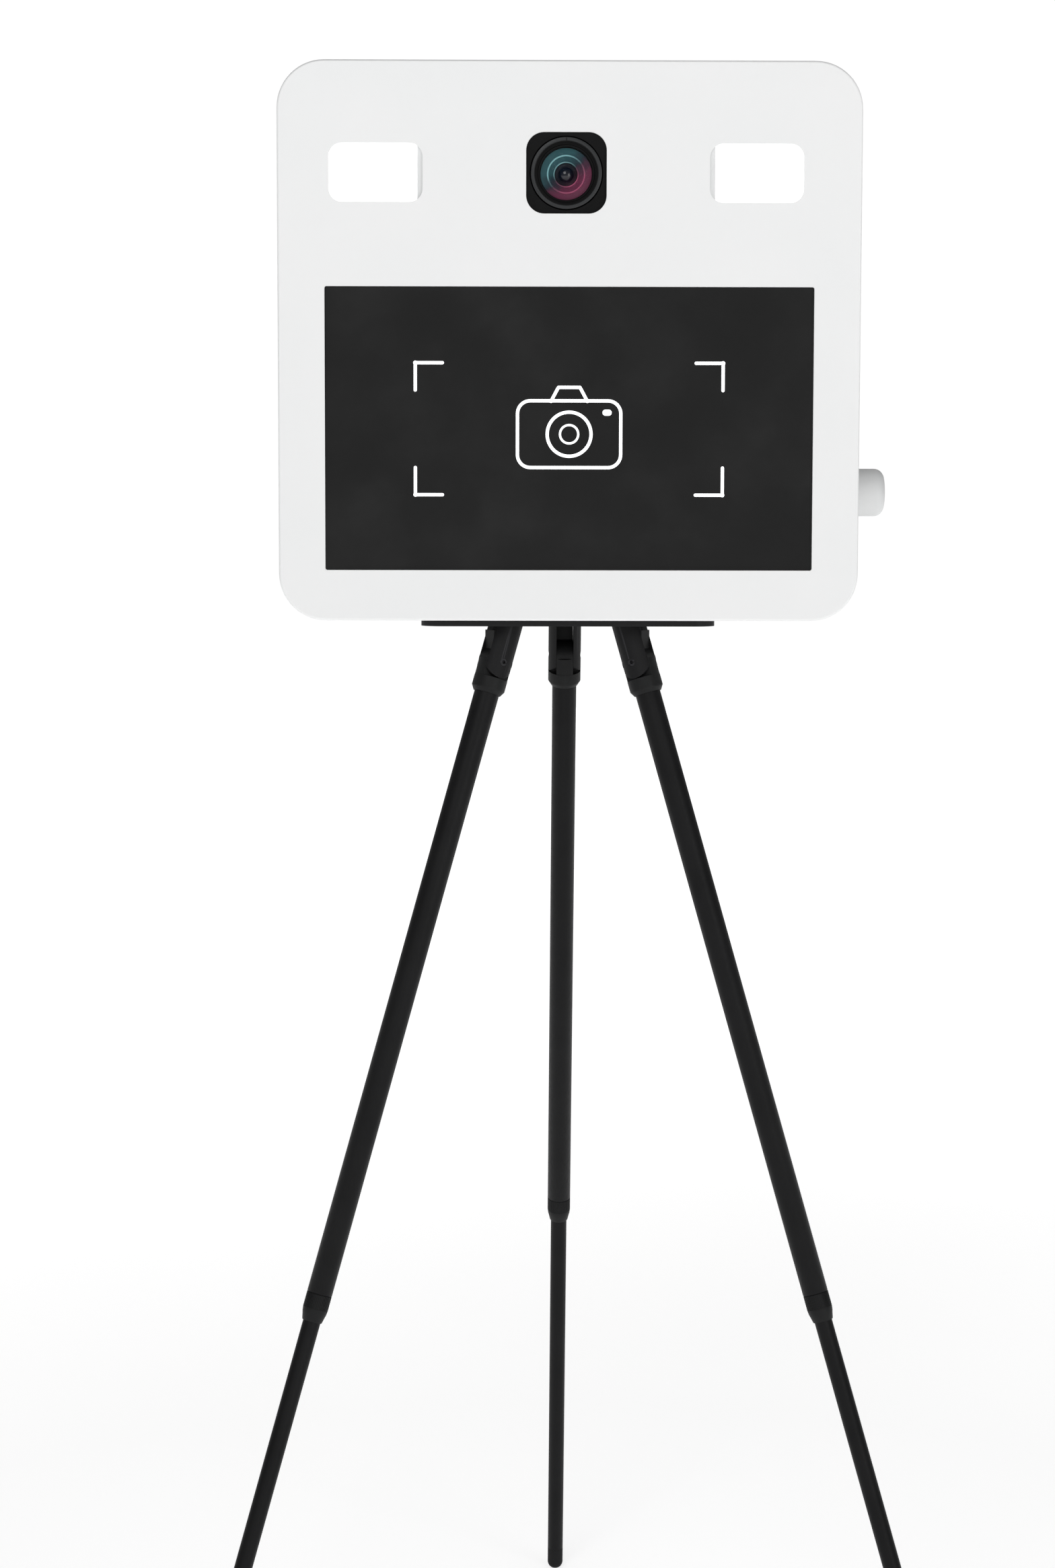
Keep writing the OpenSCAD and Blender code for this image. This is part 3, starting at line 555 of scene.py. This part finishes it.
def lens():
    """The camera's lens: barrel, insides with painted coating reflections, front glass and rubber zoom ring."""
    centre = lens_middle()
    place = facing((centre.x, 0, centre.z), Y, X)
    front, back = (corner.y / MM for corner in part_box("lens_barrel"))
    outer = size_of("lens_barrel").x / MM / 2
    zoom_front, zoom_back = (corner.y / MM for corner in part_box("lens_zoom_ring"))
    glass = size_of("lens_front_element").x / MM / 2
    crown, seat = (corner.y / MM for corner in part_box("lens_front_element"))
    mouth = outer - 4.5
    throat = 11.0

    barrel = [
        (mouth + 0.8, front + 0.5), (mouth + 1.3, front), (outer - 0.8, front),
        (outer - 0.2, front + 0.25), (outer, front + 0.9), (outer, front + 5.0),
        (outer - 0.5, front + 5.3), (outer - 0.5, front + 6.2), (outer, front + 6.5),
        (outer, zoom_front - 1.0), (outer - 0.5, zoom_front - 0.4), (mouth, zoom_front - 0.4),
        (mouth, zoom_back + 0.4), (outer - 2.0, zoom_back + 0.4), (outer - 1.5, zoom_back + 0.9),
        (outer - 1.5, back), (throat, back), (throat, seat + 9.5), (glass + 0.8, seat + 9.0),
        (glass + 0.8, front + 7.4), (mouth + 0.8, front + 7.4), (mouth + 0.8, front + 0.5),
    ]
    make_piece(turned_mesh(barrel, place, 128), "lens_barrel_turned", "booth",
               SLOT_OF["lens_barrel"], BARREL, ("lens_barrel",), weighted=False, angle=30)

    # a black insert: the filter thread, the blank ring round the glass, and the glass's seat
    thread = []
    for turn in range(5):
        thread += [(mouth, front + 1.2 + turn), (mouth + 0.4, front + 1.7 + turn)]
    insert = [(mouth, front + 0.6)] + thread + [
        (mouth, front + 6.2), (glass + 2.4, front + 6.6), (glass + 1.8, front + 6.2),
        (glass + 0.3, front + 6.8), (glass + 0.3, seat + 0.3), (glass - 0.4, seat + 0.3),
        (glass - 0.4, seat + 8.9), (glass + 0.7, seat + 8.9), (glass + 0.7, front + 7.3),
        (mouth + 0.7, front + 7.3), (mouth + 0.7, front + 0.6), (mouth, front + 0.6)]
    make_piece(turned_mesh(insert, place, 128), "lens_mouth_ring", "booth", "black_plastic",
               LENS_PAINT, weighted=False, angle=20)

    # the lens wall carries the painted coating reflections
    wall = [(glass - 0.6, seat + 0.6), (18.9, seat + 2.6), (17.1, seat + 2.7), (12.4, seat + 5.6),
            (11.2, seat + 5.7), (11.2, seat + 7.6), (glass - 0.6, seat + 7.6), (glass - 0.6, seat + 0.6)]
    make_piece(turned_mesh(wall, place, 112), "lens_wall_painted_reflection", "booth", "lens_glass", WALL_PAINTED_REFLECTION,
               weighted=False, angle=20)
    # the ridges carry the coating reflections painted brighter, as painted highlights
    ridges = []
    for radius, depth, width in ((18.0, seat + 2.65, 0.75), (11.8, seat + 5.65, 0.55)):
        arc = [(radius + width * math.cos(a), depth - width * math.sin(a))
               for a in [math.radians(i * 22.5) for i in range(9)]]
        ridges.append(turned_mesh(arc + [arc[0]], place, 112))
    make_piece(joined(ridges), "lens_ridge_painted_highlights", "booth", "lens_glass", RIDGE_PAINTED_HIGHLIGHT,
               weighted=False, angle=60)
    # the core and the inner lens carry dim painted coating reflections
    core = [(throat, seat + 7.9), (throat - 0.4, seat + 7.4), (8.0, seat + 7.9), (7.5, seat + 8.3),
            (7.5, seat + 9.2), (throat, seat + 9.2), (throat, seat + 7.9)]
    make_piece(turned_mesh(core, place, 96), "lens_core", "booth", "lens_glass", CORE_PAINTED_REFLECTION,
               weighted=False, angle=50)
    ball, lean = 10.4, math.asin(7.4 / 10.4)
    bead = [(ball * math.sin(lean * i / 10), seat + 8.6 + ball * (math.cos(lean) - math.cos(lean * i / 10)))
            for i in range(11)] + [(7.4, seat + 9.1), (0.0, seat + 9.1)]
    make_piece(turned_mesh(bead, place, 96), "inner_lens", "booth", "lens_glass", INNER_LENS_PAINTED_REFLECTION,
               weighted=False, angle=50)
    # a thin black sheet at the top of the rim: painted shade of the notch that lines up the lens hood
    rim = (mouth + outer) / 2 + 0.2
    mark = facing((centre.x, (front - 0.02) * MM, centre.z + rim * MM), -Y, X)
    make_piece(plate_mesh(0.9, 3.0, 0.3, 0.02, mark, 4), "lens_notch_painted_shade", "booth", "black_plastic",
               LENS_PAINT, weighted=False)

    steps = 18
    cap = [(glass * i / steps, crown + (seat - crown - 2.2) * (i / steps) ** 2)
           for i in range(steps + 1)]
    cap += [(glass, seat - 0.2), (glass - 0.2, seat), (0.0, seat)]
    make_piece(turned_mesh(cap, place, 96), "front_glass", "booth", "lens_glass", LENS_GLASS,
               ("lens_front_element",), weighted=False, angle=40)
    softened("lens_zoom_ring", 0.3, RUBBER)


def latch_knob():
    """The quarter-turn knob: a plain drum with a well rounded end and a raised pointer on its face."""
    low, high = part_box("latch_knob")
    radius = (high[2] - low[2]) / MM / 2
    axis_y, axis_z = (low[1] + high[1]) / 2, (low[2] + high[2]) / 2
    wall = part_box("housing_shell")[1][0] / MM
    tip, start = high[0] / MM, low[0] / MM
    arc = [(radius - 10 + 10 * math.cos(a), tip - 10 + 10 * math.sin(a))
           for a in [math.radians(i * 7.5) for i in range(13)]]
    shaft = 5.0
    profile = [(0.0, start), (shaft - 0.6, start), (shaft, start + 0.6), (shaft, wall + 2.0),
               (radius - 5.0, wall + 2.0), (radius - 4.0, wall + 2.4), (radius - 4.0, wall + 5.0),
               (radius - 0.8, wall + 5.4), (radius, wall + 6.4)]
    profile += arc + [(radius - 13, tip), (radius - 13.6, tip - 0.5), (0.0, tip - 0.5)]
    place = facing((0, axis_y, axis_z), X, Y)
    make_piece(turned_mesh(profile, place, 128), "latch_knob_turned", "latch", SLOT_OF["latch_knob"],
               GREY_ABS, ("latch_knob",), weighted=False, angle=35)
    face = facing(((tip - 0.5) * MM, axis_y, axis_z + 4.5 * MM), X, Y)
    pointer = plate_mesh(2.0, 8.0, 0.9, 0.4, face, 5)
    make_piece(pointer, "latch_pointer", "latch", SLOT_OF["latch_knob"], BLACK_ABS, weighted=False)


def idle_picture():
    """A plain camera sign inside four viewfinder corners, lit on the dark screen."""
    low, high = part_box("touch_glass")
    face = low[1] - 0.04 * MM
    middle_z = (low[2] + high[2]) / 2
    stroke, skin = 3.2, 0.03

    def place(x, z, turn=0):
        return facing((x * MM, face, middle_z + z * MM), -Y, X) @ Matrix.Rotation(math.radians(turn), 4, "Z")

    def rod(x, z, length, turn=0, width=stroke):
        return plate_mesh(length, width, width / 2 - 0.05, skin, place(x, z, turn), 6)

    parts = [
        plate_mesh(104, 68, 14, skin, place(0, -5), 10, ring=stroke),
        plate_mesh(46, 46, 22.9, skin, place(0, -5), 20, ring=stroke),
        plate_mesh(20, 20, 9.9, skin, place(0, -5), 14, ring=2.2),
        rod(-14.5, 33, 17, 62), rod(14.5, 33, 17, -62), rod(0, 40.4, 24),
        plate_mesh(9, 6, 2.9, skin, place(37, 16), 6),
    ]
    for sx in (-1, 1):
        for sz in (-1, 1):
            x, z = sx * 150, sz * 64
            parts += [rod(x - sx * 13, z, 30), rod(x, z - sz * 13, 30, 90)]
    make_piece(joined(parts), "idle_picture", "booth", "screen_glass", LIT, weighted=False)


# ---------------------------------------------------------------- legs

def leg_frame(name):
    """The pin of a leg at rest, and the direction up the leg."""
    pin = Vector(JOINTS[f"leg_{name}_fold"]["pos_m"])
    up = Vector(JOINTS[f"leg_{name}_slide"]["axis"]).normalized()
    return pin, up


def along(node, pin, up):
    """The nearest and the furthest distance in mm from the pin, down the leg, of a node."""
    reach = [-(v.co - pin).dot(up) / MM for v in NODES[node].data.vertices]
    return min(reach), max(reach)


def radius_of(node, pin, up):
    """The largest distance in mm of a node's surface from the leg's axis."""
    return max(((v.co - pin) - up * (v.co - pin).dot(up)).length for v in NODES[node].data.vertices) / MM


def leg(name):
    pin, up = leg_frame(name)
    side = Vector(JOINTS[f"leg_{name}_fold"]["axis"])
    place = facing(pin, -up, side)
    part = f"leg_{name}_".__add__

    softened(part("knuckle"), 0.6, BLACK_ABS)
    softened(part("collet"), 0.2, ACETAL)
    softened(part("guide_plug"), 0.3, ACETAL)

    top, end = along(part("upper_tube"), pin, up)
    sleeve_top, sleeve_end = along(part("twist_sleeve"), pin, up)
    outer = radius_of(part("upper_tube"), pin, up)
    neck = outer - 1.1
    tube = [(outer - 1.5, top), (outer - 0.3, top), (outer, top + 0.3), (outer, sleeve_top - 0.7),
            (outer - 0.3, sleeve_top - 0.3), (neck, sleeve_top - 0.3), (neck, end - 0.3),
            (neck - 0.3, end), (neck - 1.4, end), (neck - 1.4, sleeve_top - 4.3),
            (outer - 1.5, sleeve_top - 4.3), (outer - 1.5, top)]
    make_piece(turned_mesh(tube, place, 96), part("upper_tube_drawn"), BODY_OF[part("upper_tube")],
               "leg_tube", TUBE, (part("upper_tube"),), weighted=False)

    twist_sleeve(part, place, sleeve_top, sleeve_end, outer)

    top, end = along(part("lower_tube"), pin, up)
    inner_r = radius_of(part("lower_tube"), pin, up)
    tube = [(inner_r - 1.5, top), (inner_r - 0.2, top), (inner_r, top + 0.2), (inner_r, end - 0.2),
            (inner_r - 0.2, end), (inner_r - 1.5, end), (inner_r - 1.5, top)]
    make_piece(turned_mesh(tube, place, 80), part("lower_tube_drawn"), BODY_OF[part("lower_tube")],
               "leg_tube", TUBE, (part("lower_tube"),), weighted=False)
    softened(part("foot"), 0.3, RUBBER, min_angle=25)


GRIP_GROOVES = 48


def turn_about(face, place):
    """The angle of a face round the z axis of place."""
    spot = place.inverted() @ face.calc_center_median()
    return math.atan2(spot.y, spot.x)


def grip_band(face, place, outer, top, end):
    """Whether a face lies on the long straight part of a sleeve's outside."""
    spot = (place.inverted() @ face.calc_center_median()) / MM
    tall = max((place.inverted() @ v.co).z for v in face.verts) / MM > end - 14
    return tall and math.hypot(spot.x, spot.y) > outer - 0.1 and top + 1 < spot.z < end - 13.5


def twist_sleeve(part, place, top, end, outer):
    """The twist sleeve, its barrel cut with fine lengthwise grip grooves."""
    bore = outer - 1.05
    throat = outer - 3.35
    profile = [(bore, top), (outer - 0.3, top), (outer, top + 0.3), (outer, end - 13.0),
               (outer - 0.15, end - 11.5), (outer - 0.6, end - 8.2), (outer - 1.0, end - 7.0),
               (outer - 2.5, end - 0.5), (outer - 2.8, end), (throat, end), (throat, end - 2.0),
               (bore - 0.5, end - 10.8), (bore, end - 11.0), (bore, top)]
    bm = turned_mesh(profile, place, 2 * GRIP_GROOVES)
    barrel = [f for f in bm.faces if grip_band(f, place, outer, top, end)]
    every_other = [f for i, f in enumerate(sorted(barrel, key=lambda f: turn_about(f, place))) if i % 2]
    bmesh.ops.inset_individual(bm, faces=every_other, thickness=0.12 * MM, depth=-0.35 * MM,
                               use_even_offset=True)
    make_piece(bm, part("twist_sleeve_turned"), BODY_OF[part("twist_sleeve")],
               SLOT_OF[part("twist_sleeve")], BLACK_ABS, (part("twist_sleeve"),), weighted=False)


# ---------------------------------------------------------------- room, light and camera

FLOOR_REACH = 14.0
GLOW_NEAR, GLOW_FAR = 0.66, 0.95


def stage_piece(bm, name, material):
    """Finishes a piece of the studio, which isn't part of the booth."""
    mesh = bpy.data.meshes.new(name)
    bm.to_mesh(mesh)
    bm.free()
    mesh.materials.append(material)
    piece = bpy.data.objects.new(name, mesh)
    bpy.context.scene.collection.objects.link(piece)
    return piece


def studio():
    """A pale painted floor, and a white dome that only the camera sees."""
    paint, tree, place = new_material("painted_floor")
    tone = between(tree, noise(tree, place, 900, 2), 0, 1)
    distance = add(tree, "VectorMath", {"operation": "LENGTH"}, {0: place}).outputs["Value"]
    glow = between(tree, distance, GLOW_NEAR, GLOW_FAR, 1.0, 5.0)
    surface(tree, blend_colours(tree, tone, "#FBFBFB", "#F8F8F8"), 0.8, None, Specular_IOR_Level=0.1,
            Emission_Color=linear("#FFFFFF"), Emission_Strength=glow)
    floor = bmesh.new()
    bmesh.ops.create_grid(floor, x_segments=4, y_segments=4, size=FLOOR_REACH)
    stage_piece(floor, "floor", paint)

    backing, tree, place = new_material("lit_backdrop")
    glow = add(tree, "Emission", inputs={"Color": linear("#FFFFFF"), "Strength": 1.02})
    add(tree, "OutputMaterial", inputs={"Surface": glow.outputs[0]})
    dome = bmesh.new()
    bmesh.ops.create_uvsphere(dome, u_segments=48, v_segments=24, radius=FLOOR_REACH)
    dome = stage_piece(dome, "backdrop", backing)
    for ray in ("diffuse", "glossy", "transmission", "volume_scatter", "shadow"):
        setattr(dome, "visible_" + ray, False)


def area_light(name, place, target, size, power):
    data = bpy.data.lights.new(name, "AREA")
    data.shape = "RECTANGLE"
    data.size, data.size_y = size
    data.energy = power
    lamp = bpy.data.objects.new(name, data)
    lamp.location = place
    lamp.rotation_euler = (Vector(target) - Vector(place)).to_track_quat("-Z", "Y").to_euler()
    bpy.context.scene.collection.objects.link(lamp)


AIR_AT_SIDES, AIR_IN_FRONT = 0.12, 0.47
KEY_WATTS, FILL_WATTS = 116, 56
MIDDLE = (0, 0, 1.1)


def lights():
    """A broad frontal light, a weaker one from the other side, and air that dims towards the sides."""
    area_light("key", (-1.6, -6.5, 4.6), MIDDLE, (3.2, 3.2), KEY_WATTS)
    area_light("fill", (3.4, -5.2, 1.8), MIDDLE, (2.4, 3.0), FILL_WATTS)
    world = bpy.data.worlds.new("studio_air")
    world.use_nodes = True
    tree = world.node_tree
    air = tree.nodes["Background"]
    air.inputs["Color"].default_value = linear("#FFFFFF")
    direction = add(tree, "TexCoord").outputs["Generated"]
    depthwise = add(tree, "SeparateXYZ", inputs={0: direction}).outputs["Y"]
    squared = add(tree, "Math", {"operation": "POWER"}, {0: depthwise, 1: 2.0}).outputs[0]
    tree.links.new(between(tree, squared, AIR_AT_SIDES, AIR_IN_FRONT, 0, 1), air.inputs["Strength"])
    bpy.context.scene.world = world
    bpy.context.scene.view_settings.view_transform = "Standard"


LENS_MM = 73.96
EYE_SIDE, EYE_BACK, EYE_HEIGHT = -0.0747, 3.247, 1.286
TURN, TIP, ROLL = -0.63, 5.60, 0.11


def camera():
    """The viewpoint: at the height of the screen, a little to the left, tipped down a few degrees."""
    stand_y = sum(JOINTS[f"leg_{name}_fold"]["pos_m"][1] for name in LEGS) / 3
    data = bpy.data.cameras.new("camera")
    data.sensor_fit = "AUTO"
    data.sensor_width = 36.0
    data.lens = LENS_MM
    data.clip_end = 60.0
    viewer = bpy.data.objects.new("camera", data)
    turn = (Matrix.Rotation(math.radians(TURN), 4, "Z")
            @ Matrix.Rotation(math.radians(90 - TIP), 4, "X")
            @ Matrix.Rotation(math.radians(ROLL), 4, "Z"))
    viewer.matrix_world = Matrix.Translation((EYE_SIDE, stand_y - EYE_BACK, EYE_HEIGHT)) @ turn
    bpy.context.scene.collection.objects.link(viewer)
    bpy.context.scene.camera = viewer


finish_cad_nodes()
soften_head()
front_panel()
diffusers()
lens()
latch_knob()
idle_picture()
for leg_name in LEGS:
    leg(leg_name)
studio()
lights()
camera()
